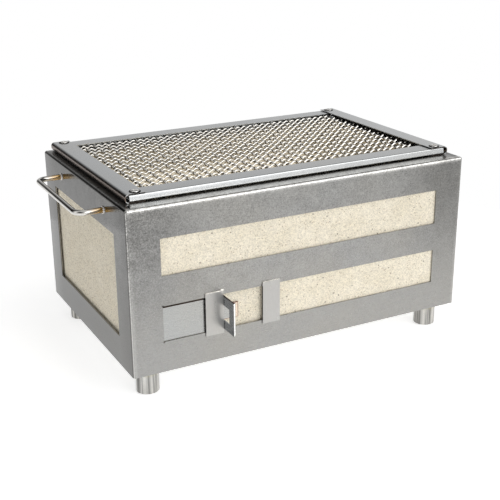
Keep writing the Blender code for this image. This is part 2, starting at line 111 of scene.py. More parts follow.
# Welds
WELD_AROUND = 48                  # points round a weld ring, and round its fillet
WELD_ACROSS = 10
WELD_LUMPS = ((9, 0.18, 1), (17, 0.10, 2))    # lumps round a ring, their swell, share of the seed
BEAD_STEPS = 60                   # rings of points along a bead
BEAD_SIDES = 12
BEAD_RADIUS = 0.75 * MM
BEAD_RIPPLE = 0.9 * MM            # half a ripple's length
LUMP_SIZE = (2.8 * MM, 0.9 * MM, 1.4 * MM)    # half its width, depth and height
TACK_SIZE = (1.5 * MM, 0.6 * MM, 0.5 * MM)

# Surfaces
POLISHED = 0.42                   # share of the roughness left where a surface is polished
CLOUD_SWING = 0.12                # of the roughness, between a cloud and a clear patch
SPECKLE_SWING = 0.26              # how far the speckle lightens and darkens the metal
BLOTCH_SWING = 0.10
# Painted light and shade on the casing, as tones of its colour
FRONT_TONE = 0.80                 # tones of the casing's skin, relative to its ledge
CORNER_SHADE = 0.55
SIDE_SHADE = 0.25
SIDE_REAR_SHADE = 0.14             # at the sides' rear ends
CORNER_SPAN = (110 * MM, 190 * MM)    # the painted shade of the upper corners deepens between these distances from the middle
SIDE_BLEND = (0.8 * MM, 2.2 * MM)     # the side's tone gives way to the front's over this part of the fold
LEDGE_TONE = 1.15
LEDGE_END_SHADE = 0.45             # painted shade on the strips of ledge beside the cooking grate
LEDGE_SHADE = 0.45            # painted shade on the ledge under the cooking grate and right in front of it
LEDGE_SHADE_REACH = 14 * MM
FOLD_HIGHLIGHT = 2.1                   # painted highlight on the folds along the top
FOLD_HIGHLIGHT_REACH = 5.5 * MM             # how far down the painted highlight reaches
SEAM_HIGHLIGHT = 1.25                  # painted highlight beside the welds down the corners
SEAM_SPAN = (2 * MM, 6 * MM)      # it fades between these distances from the side
SEAM_HIGHLIGHT_LINE = 1.5                   # of the painted highlight line on the corner's edge
SEAM_LINE_PLACE = 1.1 * MM        # the line's distance from the side
# painted shade on the cut ends of the side rails' flanges
EDGE_SHADE = (0.045, 0.036, 0.030, 1)

# Stage
TABLE_RADIUS = 0.62
TABLE_GLOW = 0.60                 # light that the white table gives off by itself

# Studio light: azimuth counted anticlockwise from +X, elevation, strength, sharpness. A dark card's
# strength is the share of the light that it takes away.
SOFT_BOXES = (
    (-72, 13, 3.4, 26), (-36, 34, 2.1, 16), (45, 12, 0.65, 9), (90, 12, 0.60, 9), (180, 12, 1.2, 16),
    (270, 12, 0.96, 9), (180, 48, 0.8, 18), (-60, 48, 0.95, 18), (0, 90, 1.4, 18),
)
DARK_CARDS = ((112, 22, 1.0, 14), (130, 8, 0.95, 14))
BELOW = 0.9                       # light from under the table's level
HORIZON = -0.06                   # height at which it has taken over, on a direction of length 1
FIREBOX_LIGHT_SIZE = (0.32, 0.17)
FIREBOX_LIGHT_POWER = 0.30
FIREBOX_LIGHT_DEPTH = 30 * MM     # under the casing's top

# Camera: its azimuth is counted clockwise from +Y, the way it looks
CAMERA_TARGET = Vector((-0.0121, -0.0093, 0.1036))
CAMERA_DISTANCE = 1.2
CAMERA_AZIMUTH = 27.66
CAMERA_ELEVATION = 20.27
CAMERA_ROLL = -0.46
CAMERA_LENS = 69.62
SENSOR = 36


# -------------------------------------------------------- mesh tools

def arc(centre, radius, start, end, steps):
    """Points along a circular arc, angles in degrees."""
    angles = [math.radians(start + (end - start) * step / steps) for step in range(steps + 1)]
    return [(centre[0] + radius * math.cos(angle), centre[1] + radius * math.sin(angle)) for angle in angles]


def box(low, high):
    form = bmesh.new()
    bmesh.ops.create_cube(form, size=1)
    for vert in form.verts:
        vert.co = [low[i] if vert.co[i] < 0 else high[i] for i in range(3)]
    return form


def prism(outline, low, high, axis):
    """A closed outline of (first, second other coordinate) pairs, carried along X, Y or Z."""
    form = bmesh.new()
    place = "XYZ".index(axis)
    rings = [[form.verts.new((*pair[:place], level, *pair[place:])) for pair in outline]
             for level in (low, high)]
    form.faces.new(rings[0])
    form.faces.new(rings[1])
    join_rings(form, rings)
    return form


def join_rings(form, rings):
    """Faces between each ring of points and the next; a ring can also be a single point."""
    for lower, upper in zip(rings, rings[1:]):
        for k in range(max(len(lower), len(upper))):
            corners = [lower[k % len(lower)], lower[(k + 1) % len(lower)]]
            corners += [upper[(k + 1) % len(upper)], upper[k % len(upper)]]
            corners = list(dict.fromkeys(corners))
            if len(corners) > 2:
                form.faces.new(corners)


def lathe(profile, segments, centre):
    """A closed (radius, height) profile turned about the upright line through centre."""
    form = bmesh.new()
    rings = []
    for radius, height in profile:
        ring = []
        for k in range(segments if radius else 1):
            angle = 2 * math.pi * k / segments
            ring.append(form.verts.new((centre.x + radius * math.cos(angle),
                                        centre.y + radius * math.sin(angle), height)))
        rings.append(ring)
    join_rings(form, rings + rings[:1])
    return form


def cell_block(xs, ys, zs, hollow):
    """The surface of a block of grid cells, without the cells that are hollow."""
    form = bmesh.new()
    corners = {}
    counts = (len(xs) - 1, len(ys) - 1, len(zs) - 1)

    def corner(index):
        if index not in corners:
            corners[index] = form.verts.new((xs[index[0]], ys[index[1]], zs[index[2]]))
        return corners[index]

    def solid(cell):
        inside = all(0 <= cell[axis] < counts[axis] for axis in range(3))
        return inside and not hollow(*cell)

    for cell in np.ndindex(*counts):
        if not solid(cell):
            continue
        for axis in range(3):
            for step in (-1, 1):
                neighbour = list(cell)
                neighbour[axis] += step
                if solid(neighbour):
                    continue
                first, second = [other for other in range(3) if other != axis]
                face = []
                for move in ((0, 0), (1, 0), (1, 1), (0, 1)):
                    index = list(cell)
                    index[axis] += max(step, 0)
                    index[first] += move[0]
                    index[second] += move[1]
                    face.append(corner(tuple(index)))
                form.faces.new(face)
    return form


def grid_between(low, high, step, extra=()):
    """Coordinates from low to high about a step apart, with the extra ones among them."""
    stops = sorted({low, high, *extra})
    values = [low]
    for start, end in zip(stops, stops[1:]):
        count = max(1, round((end - start) / step))
        values += [start + (end - start) * (k + 1) / count for k in range(count)]
    return values


def tube(path, radius, sides):
    """A round bar along a path in one plane, with flat ends. Returns a bmesh."""
    form = bmesh.new()
    points = [Vector(p) for p in path]
    rings = []
    for i, point in enumerate(points):
        tangent = (points[min(i + 1, len(points) - 1)] - points[max(i - 1, 0)]).normalized()
        up = Vector((0, 0, 1))
        across = tangent.cross(up).normalized()
        ring = []
        for k in range(sides):
            angle = 2 * math.pi * k / sides
            ring.append(form.verts.new(point + radius * (math.cos(angle) * across + math.sin(angle) * up)))
        rings.append(ring)
    form.faces.new(rings[0])
    form.faces.new(rings[-1])
    join_rings(form, rings)
    return form


def add_object(name, data):
    item = bpy.data.objects.new(name, data)
    bpy.context.scene.collection.objects.link(item)
    return item


def add_mesh(name, form):
    """A new object from a bmesh, which it uses up, with the faces turned outwards."""
    bmesh.ops.recalc_face_normals(form, faces=form.faces)
    mesh = bpy.data.meshes.new(name)
    form.to_mesh(mesh)
    form.free()
    return add_object(name, mesh)


def add_piece(name, form, material, body, nodes=(), edge=0.0, tools=()):
    """One visible piece: optional cuts, an optional fine bevel on its sharp edges, then smooth shading."""
    piece = add_mesh(name, form)
    for tool in tools:
        cut = piece.modifiers.new("cut", "BOOLEAN")
        cut.operation = "DIFFERENCE"
        cut.solver = "EXACT"
        cut.object = tool
    if edge:
        bevel = piece.modifiers.new("edge", "BEVEL")
        bevel.width = edge
        bevel.segments = 2
        bevel.limit_method = "ANGLE"
        bevel.angle_limit = math.radians(35)
        bevel.harden_normals = True
    piece.data.shade_smooth()
    if piece.modifiers:
        bake_modifiers(piece)
    if not edge:
        piece.data.set_sharp_from_angle(angle=math.radians(40))
    for tool in tools:
        bpy.data.objects.remove(tool, do_unlink=True)
    piece.data.materials.clear()
    piece.data.materials.append(material)
    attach(piece, body)
    if nodes:
        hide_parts(*nodes)
    return piece


def bake_modifiers(piece):
    bpy.context.view_layer.update()
    graph = bpy.context.evaluated_depsgraph_get()
    mesh = bpy.data.meshes.new_from_object(piece.evaluated_get(graph), preserve_all_data_layers=True,
                                           depsgraph=graph)
    piece.modifiers.clear()
    piece.data = mesh
    mesh.name = piece.name


def cutter(form):
    tool = add_mesh("cutter", form)
    tool.hide_render = True
    return tool


# -------------------------------------------------------- material tools

def new_material(name):
    material = bpy.data.materials.new(name)
    material.use_nodes = True
    return material, material.node_tree.nodes["Principled BSDF"]


def add_node(material, kind, inputs, **settings):
    """A shader node; an input is a value, or the node whose first output feeds it."""
    node = material.node_tree.nodes.new(kind)
    for key, value in settings.items():
        setattr(node, key, value)
    for key, value in inputs.items():
        connect(material, value, node.inputs[key])
    return node


def connect(material, value, socket):
    if isinstance(value, bpy.types.Node):
        value = value.outputs[0]
    if isinstance(value, bpy.types.NodeSocket):
        material.node_tree.links.new(value, socket)
    else:
        socket.default_value = value


def coordinates(material, scale=(1, 1, 1)):
    place = add_node(material, "ShaderNodeTexCoord", {})
    return add_node(material, "ShaderNodeMapping", {"Vector": place.outputs["Object"], "Scale": scale})


def noise_node(material, vector, scale, detail=4.0, roughness=0.55, distortion=0.0):
    return add_node(material, "ShaderNodeTexNoise", {
        "Vector": vector, "Scale": scale, "Detail": detail, "Roughness": roughness, "Distortion": distortion})


def remap(material, value, low, high, to_low=0.0, to_high=1.0, smooth=False):
    return add_node(material, "ShaderNodeMapRange", {
        "Value": value, "From Min": low, "From Max": high, "To Min": to_low, "To Max": to_high},
        interpolation_type="SMOOTHSTEP" if smooth else "LINEAR")


def maths(material, operation, first, second=0.0):
    return add_node(material, "ShaderNodeMath", {0: first, 1: second}, operation=operation)


def product(material, first, *others):
    for other in others:
        first = maths(material, "MULTIPLY", first, other)
    return first


def distance_from(material, value, origin):
    return maths(material, "ABSOLUTE", maths(material, "SUBTRACT", value, origin))


def mix_colour(material, factor, first, second, blend="MIX"):
    node = add_node(material, "ShaderNodeMix", {"Factor": factor}, data_type="RGBA", blend_type=blend)
    connect(material, first, node.inputs["A"])
    connect(material, second, node.inputs["B"])
    return node.outputs["Result"]


def multiply_colour(material, colour, tone):
    return mix_colour(material, 1.0, colour, tone, blend="MULTIPLY")


def grey(value):
    return (value, value, value, 1)


def shade(colour, factor):
    return (*(value * factor for value in colour), 1)


def add_bump(material, shader, height, distance, strength=1.0):
    bump = add_node(material, "ShaderNodeBump", {
        "Height": height, "Distance": distance, "Strength": strength})
    connect(material, bump, shader.inputs["Normal"])


def steel(name, colour, roughness, grain, mottle=0.08, mottle_size=3 * MM, grain_depth=0.006 * MM, tint=None,
          polish=None, speckle=None):
    """Steel with a fine grain stretched along one axis and a cloudy, mottled surface.

    grain is the number of grain lines per metre along each axis. The last three are functions that take
    the material: tint also takes its plain colour and returns a tinted one, with heat tint and, on some
    parts, painted light and shade; polish returns how far the surface is polished from 0 to 1, and
    speckle how strongly it is speckled.
    """
    material, shader = new_material(name)
    place = coordinates(material)
    fine = noise_node(material, coordinates(material, grain), 1.0, detail=3.0, roughness=0.6)
    clouds = noise_node(material, place, 1 / mottle_size, detail=5.0, roughness=0.62)
    broad = noise_node(material, place, 14.0, detail=3.0)
    cloudy = mix_colour(material, clouds, shade(colour, 1 - 2 * mottle), shade(colour, 1 + 2 * mottle))
    toned = mix_colour(material, remap(material, broad, 0.35, 0.65, 0, 0.35), cloudy,
                       (colour[0] * 1.04, colour[1], colour[2] * 0.93, 1))
    if speckle:
        dots = noise_node(material, place, 620.0, detail=2.0, roughness=0.7)
        blotches = noise_node(material, place, 75.0, detail=3.0, roughness=0.6)
        swing = maths(material, "ADD", remap(material, dots, 0.3, 0.7, -SPECKLE_SWING, SPECKLE_SWING),
                      remap(material, blotches, 0.3, 0.7, -BLOTCH_SWING, BLOTCH_SWING))
        factor = maths(material, "ADD", product(material, swing, speckle(material)), 1.0)
        toned = multiply_colour(material, toned, factor)
    if tint:
        toned = tint(material, toned)
    connect(material, toned, shader.inputs["Base Color"])
    grainy = remap(material, fine, 0.3, 0.7, 0.85 * roughness, 1.15 * roughness)
    clouded = product(material, maths(material, "SUBTRACT", clouds, 0.5), CLOUD_SWING)
    wear_and_highlight = maths(material, "ADD", grainy, clouded)
    if polish:
        wear_and_highlight = product(material, wear_and_highlight, remap(material, polish(material), 0, 1, 1, POLISHED))
    connect(material, wear_and_highlight, shader.inputs["Roughness"])
    shader.inputs["Metallic"].default_value = 1.0
    add_bump(material, shader, maths(material, "ADD", fine, product(material, clouds, 0.6)), grain_depth)
    return material


def object_axes(material):
    """The place on the piece, as its X, Y and Z sockets."""
    place = add_node(material, "ShaderNodeTexCoord", {})
    split = add_node(material, "ShaderNodeSeparateXYZ", {"Vector": place.outputs["Object"]})
    return split.outputs["X"], split.outputs["Y"], split.outputs["Z"]


def object_height(material, low, high):
    """0 below low, 1 above high, smooth between."""
    return remap(material, object_axes(material)[2], low, high, smooth=True)


def polished_and_shaded_sides(material):
    """1 on the casing's two sides, which are polished and carry painted shade; 0 on its front, rear and
    ledge.
    """
    from_side = maths(material, "SUBTRACT", RIGHT, maths(material, "ABSOLUTE", object_axes(material)[0]))
    return remap(material, from_side, *SIDE_BLEND, 1.0, 0.0)


def panel_shading(material, outwards, y):
    """Painted shade: darker towards the upper corners of the front and rear, and darker still on the two
    sides.
    """
    corner = product(material, object_height(material, BASE, TOP),
                     remap(material, outwards, *CORNER_SPAN, smooth=True))
    front = remap(material, corner, 0, 1, FRONT_TONE, CORNER_SHADE)
    side = remap(material, y, FRONT + SIDE_STILE, REAR, SIDE_SHADE, SIDE_REAR_SHADE)
    return mix_colour(material, polished_and_shaded_sides(material), front, side)


def with_seam_highlights(material, tone, inwards):
    """Painted highlight beside the welds down the corners: a lighter band, and a bright line on their edge.
    """
    seam = remap(material, inwards, *SEAM_SPAN, SEAM_HIGHLIGHT, 1.0, smooth=True)
    lit = multiply_colour(material, tone, seam)
    line = remap(material, distance_from(material, inwards, SEAM_LINE_PLACE), 0.2 * MM, 0.7 * MM, 0.75, 0.0)
    return mix_colour(material, line, lit, grey(SEAM_HIGHLIGHT_LINE))


def ledge_shading(material, outwards, y):
    """Painted shade on the ledge under the cooking grate and in front of it, and on the strips of ledge
    beside it.
    """
    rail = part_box("grate_right_channel")[1].x
    grate_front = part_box("grate_front_channel")[0].y
    # painted shade: the ledge darkens towards the grate's front rail
    painted_shade = remap(material, y, grate_front - LEDGE_SHADE_REACH, grate_front + 1 * MM, 1.0, LEDGE_SHADE)
    beside = remap(material, outwards, rail - 1 * MM, rail)
    return mix_colour(material, beside, product(material, painted_shade, LEDGE_TONE), grey(LEDGE_END_SHADE))


def highlit_folds(material, inwards, y, z):
    """1 on the folds along the top of the front and rear, which carry a painted highlight; 0 elsewhere."""
    half_depth = (REAR - FRONT) / 2
    depth = distance_from(material, y, (FRONT + REAR) / 2)
    high_up = remap(material, z, TOP - FOLD_HIGHLIGHT_REACH, TOP - 0.2 * FOLD_HIGHLIGHT_REACH, smooth=True)
    outside = remap(material, depth, half_depth - 1.5 * FOLD_HIGHLIGHT_REACH, half_depth - 0.7 * FOLD_HIGHLIGHT_REACH)
    off_side = remap(material, inwards, 1 * MM, 3 * MM)
    return product(material, high_up, outside, off_side)


def casing_shading(material, plain):
    """The casing's colour times its painted light and shade: the tones of its panels, seams, ledge and folds.
    """
    x, y, z = object_axes(material)
    outwards = maths(material, "ABSOLUTE", x)
    inwards = maths(material, "SUBTRACT", RIGHT, outwards)
    panels = with_seam_highlights(material, panel_shading(material, outwards, y), inwards)
    on_ledge = remap(material, z, TOP - 1.5 * MM, TOP - 0.5 * MM)
    tone = mix_colour(material, on_ledge, panels, ledge_shading(material, outwards, y))
    patchy = noise_node(material, coordinates(material), 190.0, detail=3.0, roughness=0.7)
    shine = remap(material, patchy, 0.3, 0.65, 0.55 * FOLD_HIGHLIGHT, FOLD_HIGHLIGHT)
    tone = mix_colour(material, highlit_folds(material, inwards, y, z), tone, shine)
    return multiply_colour(material, plain, tone)


def pipe_reflections_and_tint(material, plain):
    """Dark and bright bands along the pipe, which are painted reflections, and olive heat tint under the
    weld.
    """
    bands = noise_node(material, coordinates(material, (210, 210, 4)), 1.0, detail=4.0, roughness=0.7)
    tone = remap(material, bands, 0.38, 0.62, 0.35, 1.55)
    banded = multiply_colour(material, plain, tone)
    return distance_tint("Z", BASE, 11 * MM, (0.40, 0.36, 0.22))(material, banded)


def pull_shading(material, plain):
    """The pull is painted darker than its plate, as shade, with a painted highlight on its outer edge; the
    door's top edge has painted shade.
    """
    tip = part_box("vent_door")[0].y
    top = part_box("vent_door")[1].z
    y, z = object_axes(material)[1:]
    out = remap(material, y, FRONT - 2 * MM, FRONT, 1.0, 0.0, smooth=True)
    wear_and_highlight = remap(material, y, tip + 0.25 * MM, tip + 0.6 * MM, 1.0, 0.0)
    shaded_edge = remap(material, z, top - 0.9 * MM, top - 0.6 * MM)
    toned = mix_colour(material, out, plain, (0.25, 0.265, 0.28, 1))
    highlit_pull = mix_colour(material, wear_and_highlight, toned, (0.95, 0.94, 0.92, 1))
    return mix_colour(material, shaded_edge, highlit_pull, (0.045, 0.028, 0.024, 1))


def rail_shading(material, plain):
    """Painted shade darkens the side rails' outer webs and the cut ends of their flanges."""
    low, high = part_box("grate_right_channel")
    half_length = (high.y - low.y) / 2
    x, y, z = object_axes(material)
    outwards = maths(material, "ABSOLUTE", x)
    web = remap(material, outwards, high.x - 1.8 * MM, high.x - 0.9 * MM)
    shaded_web = mix_colour(material, web, plain, (0.16, 0.125, 0.105, 1))
    away = distance_from(material, y, (low.y + high.y) / 2)
    at_end = remap(material, away, half_length - 0.5 * MM, half_length - 0.2 * MM)
    thick = 1.2 * CHANNEL_SHEET
    lower = remap(material, z, low.z + CHANNEL_SHEET, low.z + thick, 1.0, 0.0)
    upper = remap(material, z, high.z - thick, high.z - CHANNEL_SHEET)
    flange = remap(material, outwards, high.x - 5 * MM, high.x - 3 * MM, 1.0, 0.0)
    shaded_edge = product(material, at_end, maths(material, "MAXIMUM", lower, upper), flange)
    return mix_colour(material, shaded_edge, shaded_web, EDGE_SHADE)


def tongue_tint(material, plain):
    """The tongue's end has a straw temper colour, and its cut edges are reddish brown."""
    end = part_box("vent_door")[1].x
    top = BASE + PULL_CUT_HIGH
    low = BASE + PULL_CUT_LOW
    x, _, z = object_axes(material)
    straw = remap(material, x, end - 5 * MM, end - 2 * MM, smooth=True)
    toned = mix_colour(material, straw, plain, (0.74, 0.62, 0.50, 1))
    side = remap(material, x, end - 0.9 * MM, end - 0.5 * MM)
    rim = remap(material, z, top - 0.8 * MM, top - 0.4 * MM)
    foot = remap(material, z, low + 0.3 * MM, low + 0.7 * MM, 1.0, 0.0)
    edges = maths(material, "MAXIMUM", maths(material, "MAXIMUM", side, rim), foot)
    return mix_colour(material, edges, toned, (0.24, 0.12, 0.09, 1))


def cut_edge_shadow(edge, bottom, top):
    """Painted shadow, near black, on a strap's cut edge at X = edge, where it crosses the slot."""
    def tint(material, plain):
        x, _, z = object_axes(material)
        near = remap(material, x, edge + 0.12 * MM, edge + 0.3 * MM, 1.0, 0.0)
        above = remap(material, z, bottom - 0.5 * MM, bottom + 0.5 * MM)
        below = remap(material, z, top - 0.5 * MM, top + 0.5 * MM, 1.0, 0.0)
        return mix_colour(material, product(material, near, above, below), plain, (0.02, 0.018, 0.016, 1))
    return tint


def distance_tint(axis, origin, reach, colour, absolute=False):
    """A heat tint that fades over reach from the plane where the axis coordinate is origin."""
    def tint(material, plain):
        along = object_axes(material)["XYZ".index(axis)]
        if absolute:
            along = maths(material, "ABSOLUTE", along)
        away = distance_from(material, along, origin)
        ragged = remap(material, noise_node(material, coordinates(material), 160.0), 0.3, 0.7,
                       -0.15 * reach, 0.15 * reach)
        amount = remap(material, maths(material, "ADD", away, ragged), 0.0, reach, 1.0, 0.0, smooth=True)
        return mix_colour(material, amount, plain, (*colour, 1))
    return tint


def front_speckle(material):
    """Strong speckle high up on the casing, fading downwards, and strongest in the upper left corner."""
    towards_left = remap(material, object_axes(material)[0], LEFT, LEFT / 2, 1.0, 0.0, smooth=True)
    height = object_height(material, BASE, TOP)
    corner = maths(material, "POWER", product(material, height, towards_left), 2.0)
    return maths(material, "ADD", remap(material, height, 0, 1, 0.2, 1.0), corner)


def firebrick(name, tone_factor=1.0):
    """Cream refractory brick: coarse sandy grains of different tone, dark grog specks and small pores."""
    material, shader = new_material(name)
    place = coordinates(material)
    tone = noise_node(material, place, 45.0, detail=4.0)
    base = mix_colour(material, remap(material, tone, 0.3, 0.7), (0.80, 0.73, 0.585, 1),
                      (0.86, 0.795, 0.66, 1))
    grains = add_node(material, "ShaderNodeTexVoronoi", {"Vector": place, "Scale": 850.0})
    grain = add_node(material, "ShaderNodeSeparateColor", {"Color": grains.outputs["Color"]})
    grain_tone = remap(material, grain, 0, 1, 0.80 * tone_factor, 1.10 * tone_factor)
    base = multiply_colour(material, base, grain_tone)
    height = maths(material, "MULTIPLY", grain, 0.6)
    for scale, share, size, colour in ((470.0, 0.15, 0.40, (0.44, 0.35, 0.24, 1)),
                                       (270.0, 0.06, 0.30, (0.17, 0.13, 0.09, 1))):
        cells = add_node(material, "ShaderNodeTexVoronoi", {"Vector": place, "Scale": scale})
        pick = add_node(material, "ShaderNodeSeparateColor", {"Color": cells.outputs["Color"]})
        chosen = maths(material, "LESS_THAN", pick.outputs[0], share)
        near = remap(material, cells.outputs["Distance"], size * 0.6, size, 1.0, 0.0)
        speck = maths(material, "MULTIPLY", chosen, near)
        base = mix_colour(material, maths(material, "MULTIPLY", speck, 0.85), base, colour)
        height = maths(material, "SUBTRACT", height, speck)
    connect(material, base, shader.inputs["Base Color"])
    shader.inputs["Roughness"].default_value = 0.92
    shader.inputs["Specular IOR Level"].default_value = 0.25
    add_bump(material, shader, height, 0.16 * MM)
    return material


def floor_finish():
    material, shader = new_material("floor_paint")
    grain = noise_node(material, coordinates(material), 40.0)
    colour = mix_colour(material, grain, grey(0.90), grey(0.93))
    connect(material, colour, shader.inputs["Base Color"])
    shader.inputs["Roughness"].default_value = 0.8
    shader.inputs["Emission Color"].default_value = grey(1)
    shader.inputs["Emission Strength"].default_value = TABLE_GLOW
    return material


# -------------------------------------------------------- casing

def build_casing(left, right, front, rear, base, top, material):
    """One welded skin: rounded folds, windows on all four sides, and the ledge round the mouth."""
    skin = box((left, front, base), (right, rear, top))
    uprights = [edge for edge in skin.edges if edge.verts[0].co.z != edge.verts[1].co.z]
    rims = [edge for edge in skin.edges if min(vert.co.z for vert in edge.verts) > base]
    bmesh.ops.bevel(skin, geom=uprights + rims, offset=EDGE_RADIUS, segments=8, profile=0.5, affect="EDGES")
    cuts = {
        0: (left + STILE, right - STILE, left + LEDGE_WIDTH, right - LEDGE_WIDTH),
        1: (front + LEDGE_WIDTH, rear - LEDGE_WIDTH),
        2: (base + SLOT_LOW, base + SLOT_HIGH, base + WINDOW_LOW, base + WINDOW_HIGH),
    }
    for axis, places in cuts.items():
        normal = Vector([int(other == axis) for other in range(3)])
        for place in places:
            whole = skin.verts[:] + skin.edges[:] + skin.faces[:]
            bmesh.ops.bisect_plane(skin, geom=whole, plane_co=normal * place, plane_no=normal)

    def open_face(face):
        centre = face.calc_center_median()
        normal = face.normal
        height = centre.z - base
        in_slot = SLOT_LOW < height < SLOT_HIGH
        in_window = WINDOW_LOW < height < WINDOW_HIGH
        if normal.z < -0.9:
            return True
        if normal.z > 0.9:
            return (left + LEDGE_WIDTH < centre.x < right - LEDGE_WIDTH
                    and front + LEDGE_WIDTH < centre.y < rear - LEDGE_WIDTH)
        if abs(normal.y) > 0.99:
            return left + STILE < centre.x < right - STILE and (in_slot or in_window)
        if abs(normal.x) > 0.99:
            return front + SIDE_STILE < centre.y < rear - SIDE_STILE and SLOT_LOW < height < WINDOW_HIGH
        return False

    bmesh.ops.recalc_face_normals(skin, faces=skin.faces)
    skin.normal_update()
    bmesh.ops.delete(skin, geom=[face for face in skin.faces if open_face(face)], context="FACES")
    shell = add_mesh("skin", skin)
    wall = shell.modifiers.new("wall", "SOLIDIFY")
    wall.thickness = SHEET
    wall.offset = -1
    wall.use_even_offset = True
    bake_modifiers(shell)
    form = bmesh.new()
    form.from_mesh(shell.data)
    bpy.data.objects.remove(shell, do_unlink=True)
    reliefs = []
    for height in (SLOT_LOW, SLOT_HIGH):
        circle = arc((left + STILE, base + height), RELIEF_RADIUS, 0, 345, 23)
        reliefs.append(cutter(prism(circle, front - SHEET, front + 2 * SHEET, "Y")))
    return add_piece("casing_shell", form, material, "casing",
                     ("front_panel", "rear_panel", "left_panel", "right_panel"), edge=0.2 * MM, tools=reliefs)


def build_brick(node, material, hollows=()):
    """A rough block with worn edges and box-shaped hollows, cut back inside the CAD brick's faces."""
    low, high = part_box(node)
    axes = []
    for axis in range(3):
        places = [corner[axis] for hollow_box in hollows for corner in hollow_box]
        inside = [value for value in places if low[axis] < value < high[axis]]
        axes.append(grid_between(low[axis], high[axis], BRICK_GRID, inside))

    def hollow(i, j, k):
        centre = [(axes[axis][n] + axes[axis][n + 1]) / 2 for axis, n in enumerate((i, j, k))]
        return any(all(inner[axis] < centre[axis] < outer[axis] for axis in range(3))
                   for inner, outer in hollows)

    form = cell_block(*axes, hollow)
    bmesh.ops.recalc_face_normals(form, faces=form.faces)
    form.normal_update()
    for vert in form.verts:
        facing = max(abs(value) for value in vert.normal)
        grain = 0.5 + 0.5 * noise.noise(vert.co * 180)
        depth = BRICK_ROUGHNESS * grain
        if facing < 0.95:
            depth += BRICK_CHIPS * (0.35 + 0.65 * max(0.0, noise.noise(vert.co * 90)))
        vert.co -= vert.normal * depth
    return add_piece(node + "_rough", form, material, "casing", (node,))


# -------------------------------------------------------- small parts

def weld_ring(name, centre, axis, radius, size, material, seed):
    """A lumpy fillet of weld metal round a bar that stands on a surface; axis points away from it."""
    turn = Vector((0, 0, 1)).rotation_difference(Vector(axis)).to_matrix()
    form = bmesh.new()
    rings = []
    for i in range(WELD_AROUND):
        angle = 2 * math.pi * i / WELD_AROUND
        swell = size * (1 + sum(rise * math.sin(count * angle + share * seed)
                                for count, rise, share in WELD_LUMPS))
        ring = []
        for j in range(WELD_ACROSS):
            bend = 2 * math.pi * j / WELD_ACROSS
            out = radius + 0.8 * swell * math.cos(bend)
            up = max(0.0, swell * math.sin(bend))
            point = Vector((out * math.cos(angle), out * math.sin(angle), up))
            ring.append(form.verts.new(Vector(centre) + turn @ point))
        rings.append(ring)
    join_rings(form, rings + rings[:1])
    add_piece(name, form, material, "casing")


def weld_spot(name, centre, size, material, seed):
    """A low lump of weld metal on the front panel."""
    form = bmesh.new()
    bmesh.ops.create_icosphere(form, subdivisions=3, radius=1)
    for vert in form.verts:
        lump = 1 + 0.22 * noise.noise(vert.co * 2.1 + Vector((seed, 0, 0)))
        vert.co = Vector(centre) + vert.co * Vector(size) * lump
    add_piece(name, form, material, "casing")


def build_straps(front, base, weld_material):
    """The door's two guides, each welded along its top edge and tacked at its lower corners."""
    for side in ("left", "right"):
        node = "guide_strap_" + side
        low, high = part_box(node)
        strap = box(low, Vector((high.x, front - 0.02 * MM, high.z)))
        # each strap carries a painted shadow on its left cut edge where it crosses the slot
        material = steel("strap_sheet_" + side, (0.455, 0.45, 0.44), 0.32, (1200, 1200, 60), mottle=0.04,
                         tint=cut_edge_shadow(low.x, base + SLOT_LOW, base + SLOT_HIGH))
        add_piece(node + "_plate", strap, material, "casing", (node,), edge=0.18 * MM)
        ends = [Vector((x, front - 0.55 * MM, high.z + 0.1 * MM))
                for x in (low.x + 0.4 * MM, high.x + 0.2 * MM)]
        weld_bead(node + "_bead", *ends, BEAD_RADIUS, weld_material, low.x * 1000)
        if side == "left":
            weld_spot(node + "_lump", (high.x - 1.4 * MM, front - 0.6 * MM, high.z + 0.9 * MM), LUMP_SIZE,
                      weld_material, low.x * 500)
        for number, x in enumerate((low.x + 2 * MM, high.x - 2 * MM)):
            weld_spot("%s_weld_%d" % (node, number + 1), (x, front - 0.4 * MM, low.z), TACK_SIZE,
                      weld_material, number + low.x * 1000)


def weld_bead(name, start, end, size, material, seed):
    """A rippled half-round bead of weld metal along a straight seam."""
    path = [start.lerp(end, k / BEAD_STEPS) for k in range(BEAD_STEPS + 1)]
    form = tube(path, size, BEAD_SIDES)
    run = (end - start).normalized()
    length = (end - start).length
    for vert in form.verts:
        along = (vert.co - start).dot(run)
        centre = start + run * along
        ripple = 1 + 0.22 * math.sin(math.pi * along / BEAD_RIPPLE)
        ripple += 0.35 * noise.noise(vert.co * 900 + Vector((seed, 0, 0)))
        taper = min(1.0, 0.45 + 6.6 * min(along, length - along) / length)
        vert.co = centre + (vert.co - centre) * ripple * taper
    add_piece(name, form, material, "casing")


